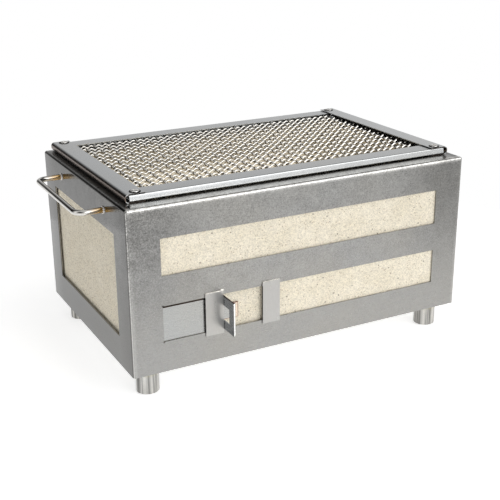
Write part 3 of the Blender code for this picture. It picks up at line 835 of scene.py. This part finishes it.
def build_door(front, base, material, tongue_material):
    """The sliding strip, its folded pull with a window, and the tongue bent out of that window."""
    low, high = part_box("vent_door")
    back = front + 2 * SHEET + DOOR_PLAY
    fold = high.x - TONGUE
    centre = (fold - DOOR_BEND, back - DOOR_BEND)
    outline = [(low.x, back - SHEET), (low.x, back)]
    outline += arc(centre, DOOR_BEND, 90, 0, 12)
    outline += [(fold, low.y), (fold - SHEET, low.y)]
    outline += arc(centre, DOOR_BEND - SHEET, 0, 90, 12)
    strip = prism(outline, low.z, high.z, "Z")
    corners = [edge for edge in strip.edges
               if all(vert.co.y < low.y + 0.1 * MM for vert in edge.verts)
               and abs(edge.verts[0].co.z - edge.verts[1].co.z) < 0.1 * MM]
    bmesh.ops.bevel(strip, geom=corners, offset=PULL_CORNER, segments=6, profile=0.5, affect="EDGES")
    window = cutter(box((fold - DOOR_BEND, back - TONGUE, base + PULL_CUT_LOW),
                        (fold + 10 * MM, back + 10 * MM, base + PULL_CUT_HIGH)))
    add_piece("vent_door_strip", strip, material, "vent_door", ("vent_door",),
              edge=0.35 * MM, tools=(window,))
    tongue = box((fold - DOOR_BEND - 0.5 * MM, back - SHEET, base + PULL_CUT_LOW),
                 (fold + TONGUE, back, base + PULL_CUT_HIGH))
    add_piece("vent_door_tongue", tongue, tongue_material, "vent_door", edge=0.15 * MM)


def build_handle(side, panel, material, weld_material):
    """Bent rod with a weld at each end; side is -1 for the left and 1 for the right."""
    node = ("left" if side < 0 else "right") + "_handle"
    low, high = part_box(node)
    height = (low.z + high.z) / 2
    y_low = low.y + ROD_RADIUS
    y_high = high.y - ROD_RADIUS
    corner = panel + side * (high.x - low.x - ROD_RADIUS - HANDLE_BEND)
    bend = arc((corner, y_low + HANDLE_BEND), HANDLE_BEND, -90, 90 * side - 90, HANDLE_STEPS)
    path = [(panel + side * 0.1 * MM, y_low, height)] + [(x, y, height) for x, y in bend]
    path += [(x, y_low + y_high - y, z) for x, y, z in reversed(path)]
    add_piece(node + "_rod", tube(path, ROD_RADIUS, 28), material, "casing", (node,))
    for number, y in enumerate((y_low, y_high)):
        weld_ring("%s_weld_%d" % (node, number + 1), (panel, y, height), (side, 0, 0), ROD_RADIUS, 1.5 * MM,
                  weld_material, number + side)


def build_foot(node, material, weld_material):
    """A length of pipe with rounded rims, welded to the pan."""
    low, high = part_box(node)
    outer = (high.x - low.x) / 2
    inner = outer - FOOT_WALL
    rim = 0.8 * MM
    top = high.z
    profile = [(inner, top), (inner, rim)]
    profile += arc((inner + rim, rim), rim, 180, 270, 5)[1:]
    profile += arc((outer - rim, rim), rim, 270, 360, 5)
    profile += [(outer, top)]
    centre = (low + high) / 2
    add_piece(node + "_pipe", lathe(profile, FOOT_SIDES, centre), material, "casing", (node,))
    weld_ring(node + "_weld", (centre.x, centre.y, top + 0.25 * MM), (0, 0, -1), outer, 1.3 * MM,
              weld_material, centre.x * 100 + centre.y * 37)


# -------------------------------------------------------- cooking grate

def channel_outline(height, radius, low_radius, lean=0.0):
    """A C section open towards +u, its back at u = 0, standing on v = 0 and leaning in by lean at its top."""
    low = (low_radius, low_radius)
    high = (radius + lean, height - radius)
    outline = [(CHANNEL_WIDTH, 0)]
    outline += arc(low, low_radius, 270, 180, 10)
    outline += arc(high, radius, 180, 90, 10)
    outline += [(CHANNEL_WIDTH, height), (CHANNEL_WIDTH, height - CHANNEL_SHEET)]
    outline += arc(high, radius - CHANNEL_SHEET, 90, 180, 10)
    outline += arc(low, low_radius - CHANNEL_SHEET, 180, 270, 10)
    outline += [(CHANNEL_WIDTH, CHANNEL_SHEET)]
    return outline


def build_channels(material):
    """Four C sections, their backs outwards: two along Y at the sides, two along X at front and rear."""
    sides = (SIDE_CHANNEL_RADIUS, SIDE_CHANNEL_RADIUS)
    ends = (END_CHANNEL_RADIUS, END_CHANNEL_FOOT, END_CHANNEL_LEAN)
    for name, run, outwards, folds in (("left", "Y", -1, sides), ("right", "Y", 1, sides),
                                       ("front", "X", -1, ends), ("rear", "X", 1, ends)):
        low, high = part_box("grate_%s_channel" % name)
        along = "XY".index(run)
        back = (low if outwards < 0 else high)[1 - along]
        outline = [(back - outwards * u, low.z + v) for u, v in channel_outline(high.z - low.z, *folds)]
        add_piece("grate_%s_rail" % name, prism(outline, low[along], high[along], run), material,
                  "cooking_grate", ("grate_%s_channel" % name,), edge=0.15 * MM)


def build_rivet(node, material, painted_shade):
    """A blind rivet: domed flange with the snapped mandrel's pit, shank and swollen tail."""
    low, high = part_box(node)
    head = (high.x - low.x) / 2
    under = high.z - RIVET_RISE
    lip = RIVET_PIT + RIVET_LIP
    profile = [(0, low.z), (0.8 * RIVET_TAIL, low.z + 0.4 * MM), (RIVET_TAIL, low.z + 1.2 * MM),
               (RIVET_SHANK, low.z + 2.2 * MM), (RIVET_SHANK, under), (head - 0.2 * MM, under)]
    for degrees in range(0, 91, 10):
        angle = math.radians(degrees)
        profile.append((lip + (head - lip) * math.cos(angle),
                        under + RIVET_RIM + (RIVET_RISE - RIVET_RIM) * math.sin(angle)))
    floor = high.z - PIT_DEPTH
    profile += [(RIVET_PIT, high.z - 0.15 * MM), (RIVET_PIT, floor), (RIVET_PIT / 2, floor + 0.15 * MM),
                (0, floor + 0.2 * MM)]
    # the seat is a dark ring of painted shade round the head
    seat = [(head - SEAT_TUCK, under), (head + SEAT_RING, under),
            (head + SEAT_RING - 0.2 * MM, under + SEAT_HEIGHT), (head - SEAT_TUCK, under + SEAT_HEIGHT)]
    for part, outline, finish, nodes in (("_head", profile, material, (node,)), ("_seat", seat, painted_shade, ())):
        form = lathe(outline, RIVET_SIDES, (low + high) / 2)
        add_piece(node + part, form, finish, "cooking_grate", nodes)


def crimped_wires(name, axis, starts, pitch, low, high, middle, origin, sign, material, underside):
    """All the wires of one direction, each swinging over and under the wires that it crosses.

    starts holds each wire's place across the run, pitch is the crossing wires' spacing, and origin is
    where the first of them lies.
    """
    steps = max(2, round((high - low) / pitch * WIRE_STEPS * CRIMPS))
    along = np.linspace(low, high, steps + 1)
    angles = np.arange(WIRE_SIDES) * 2 * math.pi / WIRE_SIDES
    wave = math.pi * CRIMPS / pitch
    phase = wave * (along - origin)
    points = []
    faces = []
    for index, start in enumerate(starts):
        swing = sign * (-1) ** index * CRIMP
        height = middle + swing * np.cos(phase)
        slope = -swing * wave * np.sin(phase)
        length = np.sqrt(1 + slope ** 2)
        run = along[:, None] - WIRE_RADIUS * np.sin(angles)[None, :] * (slope / length)[:, None]
        rise = height[:, None] + WIRE_RADIUS * np.sin(angles)[None, :] / length[:, None]
        side = np.broadcast_to(start + WIRE_RADIUS * np.cos(angles), run.shape)
        columns = (run, side, rise) if axis == "X" else (side, run, rise)
        first = len(points) * run.size
        points.append(np.stack(columns, axis=-1).reshape(-1, 3))
        for ring in range(steps):
            for k in range(WIRE_SIDES):
                j = (k + 1) % WIRE_SIDES
                a = first + ring * WIRE_SIDES
                faces.append((a + k, a + j, a + WIRE_SIDES + j, a + WIRE_SIDES + k))
        faces.append(tuple(first + k for k in range(WIRE_SIDES)))
        faces.append(tuple(first + steps * WIRE_SIDES + k for k in reversed(range(WIRE_SIDES))))
    mesh = bpy.data.meshes.new(name)
    mesh.from_pydata(np.concatenate(points).tolist(), [], faces)
    form = bmesh.new()
    form.from_mesh(mesh)
    bpy.data.meshes.remove(mesh)
    rows = steps * WIRE_SIDES
    for index, face in enumerate(form.faces):
        place = index % (rows + 2)
        face.material_index = int(place < rows and place % WIRE_SIDES in SOOTY_SIDES)
    piece = add_piece(name, form, material, "cooking_grate")
    piece.data.materials.append(underside)
    return piece


def spread(middle, count, pitch):
    """Places a pitch apart, as many on each side of the middle."""
    return [middle + (k - (count - 1) / 2) * pitch for k in range(count)]


def build_weave(material, underside):
    low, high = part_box("woven_mesh")
    centre = (low + high) / 2
    xs = spread(centre.x, CROSS_WIRES, CROSS_WIRE_PITCH)
    ys = spread(centre.y, LONG_WIRES, LONG_WIRE_PITCH)
    wires = crimped_wires("weave_long_wires", "X", ys, CROSS_WIRE_PITCH, low.x, high.x, centre.z, xs[0], 1,
                          material, underside)
    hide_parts("woven_mesh")
    crimped_wires("weave_cross_wires", "Y", xs, LONG_WIRE_PITCH, low.y, high.y, centre.z, ys[0], -1,
                  material, underside)


# -------------------------------------------------------- stage

def build_floor():
    """A round, pale table top; past its rim the white studio goes on."""
    form = bmesh.new()
    bmesh.ops.create_circle(form, cap_ends=True, radius=TABLE_RADIUS, segments=96)
    floor = add_mesh("floor", form)
    floor.location.z = -0.2 * MM
    floor.data.materials.append(floor_finish())


def direction(azimuth, elevation):
    """The unit vector towards an azimuth, counted anticlockwise from +X, and an elevation, in degrees."""
    turn, rise = math.radians(azimuth), math.radians(elevation)
    return Vector((math.cos(turn) * math.cos(rise), math.sin(turn) * math.cos(rise), math.sin(rise)))


def soft_glow(world, place, azimuth, elevation, strength, sharpness):
    """strength in one direction, falling off smoothly to all sides."""
    facing = add_node(world, "ShaderNodeVectorMath", {0: place, 1: direction(azimuth, elevation)},
                      operation="DOT_PRODUCT")
    falloff = product(world, maths(world, "SUBTRACT", facing.outputs["Value"], 1.0), sharpness)
    return product(world, maths(world, "EXPONENT", falloff), strength)


def build_world():
    """A white studio, lit by soft boxes on all sides, with dark cards that draw the metal's edges."""
    world = bpy.data.worlds.new("studio")
    bpy.context.scene.world = world
    world.use_nodes = True
    background = world.node_tree.nodes["Background"]
    generated = add_node(world, "ShaderNodeTexCoord", {}).outputs["Generated"]
    place = add_node(world, "ShaderNodeVectorMath", {0: generated}, operation="NORMALIZE")
    light = 0.0
    for glow in SOFT_BOXES:
        light = maths(world, "ADD", light, soft_glow(world, place, *glow))
    for glow in DARK_CARDS:
        light = product(world, light, maths(world, "SUBTRACT", 1.0, soft_glow(world, place, *glow)))
    split = add_node(world, "ShaderNodeSeparateXYZ", {"Vector": place})
    above = remap(world, split.outputs["Z"], HORIZON, 0.0)
    studio = mix_colour(world, above, grey(BELOW), light)
    path = add_node(world, "ShaderNodeLightPath", {})
    seen = mix_colour(world, path.outputs["Is Camera Ray"], studio, grey(1.0))
    connect(world, seen, background.inputs["Color"])


def add_light(name, location, size, power):
    """A soft panel of light that faces down and isn't seen itself."""
    data = bpy.data.lights.new(name, "AREA")
    data.shape = "RECTANGLE"
    data.size, data.size_y = size
    data.energy = power
    light = add_object(name, data)
    light.location = location
    light.visible_camera = False
    light.visible_glossy = False


def build_camera():
    forward = direction(90 - CAMERA_AZIMUTH, -CAMERA_ELEVATION)
    right = direction(-CAMERA_AZIMUTH, 0)
    level = Matrix((right, right.cross(forward), -forward)).transposed()
    turn = level @ Matrix.Rotation(math.radians(CAMERA_ROLL), 3, "Z")
    data = bpy.data.cameras.new("camera")
    data.lens = CAMERA_LENS
    data.sensor_width = SENSOR
    camera = add_object("camera", data)
    camera.matrix_world = Matrix.Translation(CAMERA_TARGET - forward * CAMERA_DISTANCE) @ turn.to_4x4()
    bpy.context.scene.camera = camera


# -------------------------------------------------------- assembly

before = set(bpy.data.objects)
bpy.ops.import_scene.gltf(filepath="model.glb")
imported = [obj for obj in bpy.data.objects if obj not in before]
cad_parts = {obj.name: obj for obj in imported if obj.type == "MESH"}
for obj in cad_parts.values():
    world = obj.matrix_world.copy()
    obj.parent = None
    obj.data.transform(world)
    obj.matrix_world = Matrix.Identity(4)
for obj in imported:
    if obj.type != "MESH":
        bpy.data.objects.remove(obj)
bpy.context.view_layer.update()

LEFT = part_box("left_panel")[0].x
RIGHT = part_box("right_panel")[1].x
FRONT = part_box("front_panel")[0].y
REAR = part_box("rear_panel")[1].y
BASE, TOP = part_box("front_panel")[0].z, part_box("front_panel")[1].z

# the casing's steel carries painted light and shade on its panels, ledge, folds and corner seams
casing_steel = steel("casing_sheet", (0.42, 0.417, 0.405), 0.30, (60, 60, 1400), mottle=0.06,
                     tint=casing_shading, polish=polished_and_shaded_sides, speckle=front_speckle)
# the door carries painted shade on its pull and top edge, and a painted highlight on the pull's outer edge
door_steel = steel("door_sheet", (0.405, 0.41, 0.405), 0.28, (50, 50, 1600), mottle=0.03, tint=pull_shading)
# the grate's side rails carry painted shade on their outer webs and flange ends
grate_steel = steel("grate_sheet", (0.60, 0.615, 0.625), 0.24, (90, 1400, 1400), mottle=0.04, tint=rail_shading)
tongue_steel = steel("tongue_sheet", (0.405, 0.41, 0.405), 0.28, (50, 50, 1600), mottle=0.03,
                     tint=tongue_tint)
rod_steel = steel("handle_rod", (0.66, 0.65, 0.63), 0.10, (900, 900, 900), mottle=0.05,
                  tint=distance_tint("X", RIGHT, 19 * MM, (0.72, 0.43, 0.12), absolute=True))
bead_steel = steel("weld_bead", (0.86, 0.84, 0.80), 0.30, (900, 900, 900), mottle=0.35, mottle_size=0.8 * MM)
rivet_steel = steel("rivet_metal", (0.93, 0.92, 0.90), 0.26, (900, 900, 900), mottle=0.05)
weld_steel = steel("weld_metal", (0.60, 0.58, 0.56), 0.24, (900, 900, 900), mottle=0.15)
# the feet carry painted reflections as bands along the pipe, and heat tint under the weld
pipe_steel = steel("foot_pipe", (0.40, 0.395, 0.38), 0.17, (1600, 1600, 40), mottle=0.05, tint=pipe_reflections_and_tint)
wire_steel = steel("weave_wire", (0.74, 0.72, 0.68), 0.10, (700, 700, 700), mottle=0.10)
bar_steel = steel("charcoal_bar", (0.45, 0.43, 0.41), 0.35, (500, 500, 500), mottle=0.12)
pan_steel = steel("pan_sheet", (0.50, 0.50, 0.49), 0.36, (900, 60, 60), mottle=0.06)
sooty_steel = steel("sooty_wire", (0.05, 0.045, 0.04), 0.45, (700, 700, 700), mottle=0.25)
# painted shade: the dark ring round each rivet's head
painted_shade = steel("seat_soot", (0.035, 0.032, 0.03), 0.5, (700, 700, 700), mottle=0.2)
brick = firebrick("refractory_brick")
sooty_brick = firebrick("sooty_brick", 0.16)

build_casing(LEFT, RIGHT, FRONT, REAR, BASE, TOP, casing_steel)
inlet = ((LEFT + INLET_LEFT, FRONT, BASE + INLET_LOW),
         (LEFT + INLET_RIGHT, FRONT + LEDGE_WIDTH, BASE + INLET_HIGH))
pocket = ((LEFT + POCKET_LEFT, FRONT, BASE + POCKET_LOW),
          (LEFT + POCKET_RIGHT, FRONT + POCKET_BACK, BASE + POCKET_HIGH))
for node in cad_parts:
    if "brick" in node:
        build_brick(node, sooty_brick if "floor" in node else brick,
                    (inlet, pocket) if node == "front_wall_brick" else ())
build_straps(FRONT, BASE, bead_steel)
build_door(FRONT, BASE, door_steel, tongue_steel)
build_handle(-1, LEFT, rod_steel, weld_steel)
build_handle(1, RIGHT, rod_steel, weld_steel)
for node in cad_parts:
    if node.startswith("foot_"):
        build_foot(node, pipe_steel, weld_steel)
build_channels(grate_steel)
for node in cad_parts:
    if node.startswith("grate_rivet_"):
        build_rivet(node, rivet_steel, painted_shade)
build_weave(wire_steel, sooty_steel)
for node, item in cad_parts.items():
    if node == "base_pan" or node.startswith("charcoal_"):
        item.data.materials.clear()
        item.data.materials.append(pan_steel if node == "base_pan" else bar_steel)

build_floor()
build_world()
add_light("firebox_light", (0, (FRONT + REAR) / 2, TOP - FIREBOX_LIGHT_DEPTH), FIREBOX_LIGHT_SIZE,
          FIREBOX_LIGHT_POWER)
build_camera()
bpy.context.scene.view_settings.view_transform = "Standard"
